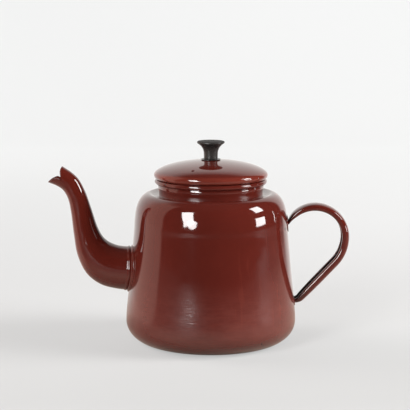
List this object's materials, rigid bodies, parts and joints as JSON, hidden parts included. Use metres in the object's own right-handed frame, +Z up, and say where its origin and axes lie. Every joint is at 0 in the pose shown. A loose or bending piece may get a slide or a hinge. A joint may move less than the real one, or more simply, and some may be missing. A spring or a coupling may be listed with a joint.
{
  "type": "enamel teapot",
  "caption": "Enamelled steel teapot with a tapered round body, rolled rim, gooseneck spout, pressed strip handle and a loose domed lid with a flared black knob.",
  "frame": {"origin": "where the pot's axis meets the flat underside of the base, at floor level", "axes": "+Z up along the pot's axis, +X towards the handle, the spout points to -X"},
  "size_m": [0.2652, 0.1502, 0.1784],
  "materials": {
    "enamel": "gloss vitreous enamel",
    "knob": "satin black",
    "steel": "plain steel"
  },
  "bodies": {
    "pot": {"body_shell": "enamel", "base_disc": "enamel", "spout_left": "enamel", "spout_right": "enamel", "spout_collar": "enamel", "handle_strip": "enamel", "handle_upper_foot": "enamel", "handle_lower_foot": "enamel"},
    "screw": {"knob_screw": "steel"},
    "lid": {"lid_dome": "enamel", "lid_flange": "enamel", "knob": "knob", "knob_washer": "knob", "screw_washer": "steel"}
  },
  "joints": [
    {"name": "lid_lift", "type": "slide", "parent": "pot", "child": "screw", "axis": [0, 0, 1], "range_m": [0, 0.06]},
    {"name": "lid_turn", "type": "hinge", "parent": "screw", "child": "lid", "pos_m": [0, 0, 0.16], "axis": [0, 0, 1], "continuous": true}
  ]
}
